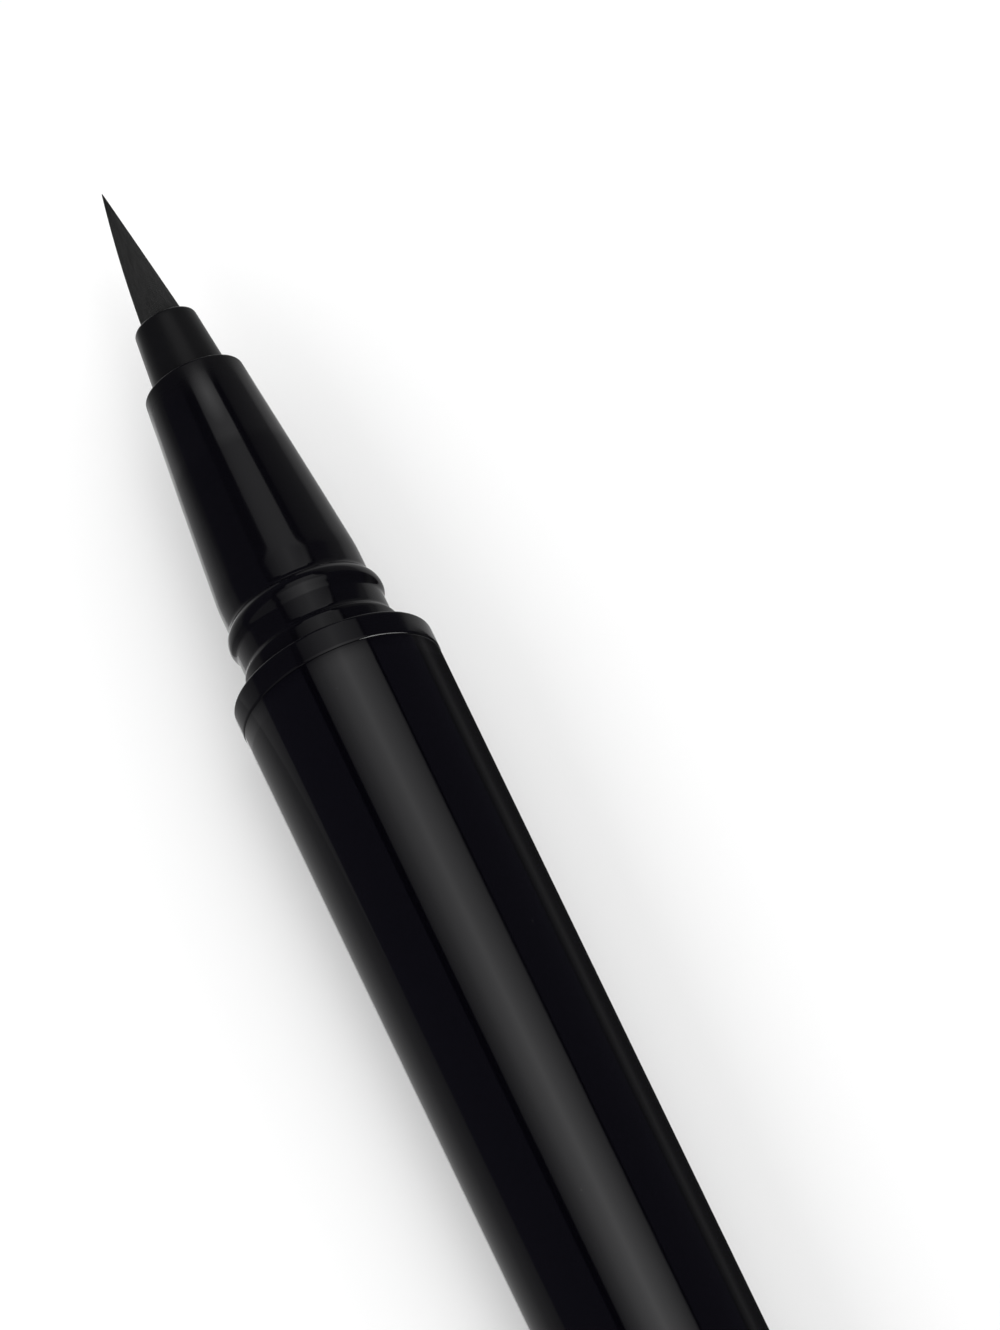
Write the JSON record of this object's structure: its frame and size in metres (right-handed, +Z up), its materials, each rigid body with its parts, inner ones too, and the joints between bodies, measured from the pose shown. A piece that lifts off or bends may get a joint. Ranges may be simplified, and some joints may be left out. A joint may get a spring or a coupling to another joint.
{
  "type": "liquid eyeliner pen",
  "caption": "Slim round liquid eyeliner pen with a pointed bristle tip, a stepped tapering nose and a plain push-on cap drawn off in line with the tip.",
  "frame": {"origin": "centre of the flat tail face, on the pen's axis", "axes": "+X along the pen from the tail to the brush tip and on into the cap, +Z up with the pen lying on its side"},
  "size_m": [0.1925, 0.011, 0.011],
  "materials": {
    "gloss_black": "high-gloss black moulded plastic",
    "satin_black": "satin black moulded plastic",
    "bristle": "fine black nylon bristles wet with ink",
    "tank_plastic": "translucent natural polypropylene",
    "white_plastic": "natural white moulded plastic",
    "fibre": "bonded fibre rod",
    "rubber": "matt",
    "steel": "plain stainless wire and ball"
  },
  "bodies": {
    "pen_body": {"barrel": "gloss_black", "tail_cap": "gloss_black", "shoulder_ring": "gloss_black", "neck_section": "gloss_black", "nose_cone": "gloss_black", "tip_sleeve": "satin_black", "brush_tip": "bristle", "ink_tank": "tank_plastic", "tank_plug": "white_plastic", "tank_gasket": "rubber", "collector": "white_plastic", "relay_core": "fibre"},
    "ball": {"mixing_ball": "steel"},
    "cap": {"cap_shell": "gloss_black", "cap_liner": "satin_black", "seal_spring": "steel"},
    "seal": {"seal_cup": "white_plastic"}
  },
  "joints": [
    {"name": "cap_pull", "type": "slide", "parent": "pen_body", "child": "cap", "axis": [1, 0, 0], "range_m": [-0.055, 0.01]},
    {"name": "seal_press", "type": "slide", "parent": "cap", "child": "seal", "axis": [1, 0, 0], "range_m": [0, 0.0015], "stiffness_N_per_m": 200, "deforming": ["seal_spring"]},
    {"name": "ball_roll", "type": "slide", "parent": "pen_body", "child": "ball", "axis": [1, 0, 0], "range_m": [0, 0.0455]}
  ]
}
